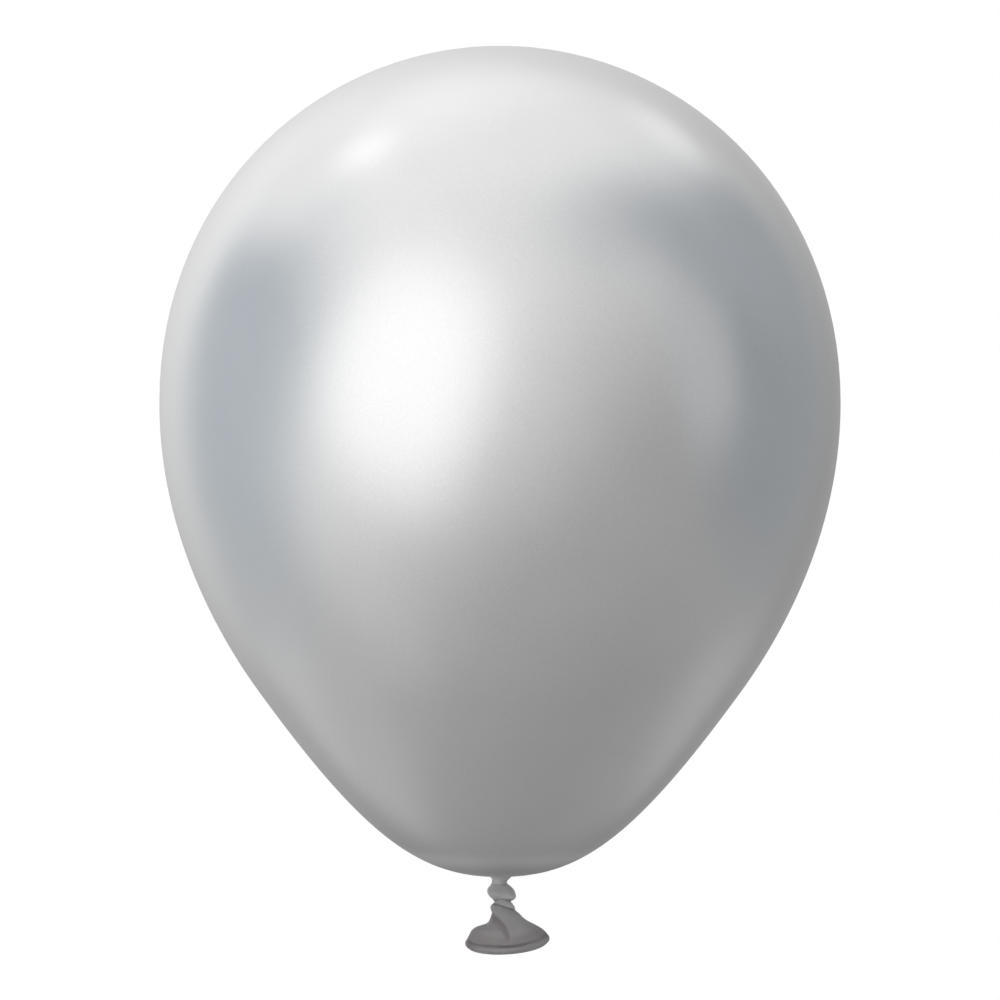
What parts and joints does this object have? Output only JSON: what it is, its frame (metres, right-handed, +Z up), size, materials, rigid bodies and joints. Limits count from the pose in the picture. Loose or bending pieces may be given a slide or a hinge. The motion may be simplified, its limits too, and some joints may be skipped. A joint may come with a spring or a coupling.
{
  "type": "chrome-look latex party balloon",
  "caption": "Inflated, tied party balloon: a silver metallic latex envelope shaped like a soft pear, with its neck, knot and flared tail.",
  "frame": {"origin": "middle of the neck, between the inflated envelope and the knot, where a ribbon, clip or stick cup holds the balloon", "axes": "+Z up along the envelope's axis to its crown, -Y towards the front, +X to the right in the front view"},
  "size_m": [0.28, 0.28, 0.3729],
  "materials": {
    "chrome_latex": "satin chrome-look latex film, stretched",
    "slack_latex": "satin grey latex with metallic pigment, unstretched"
  },
  "bodies": {
    "root": {"envelope": "chrome_latex", "neck_core": "slack_latex", "knot_wrap": "slack_latex", "knot_tuck": "slack_latex", "tail_skirt": "slack_latex", "mouth_roll": "slack_latex"}
  },
  "joints": []
}
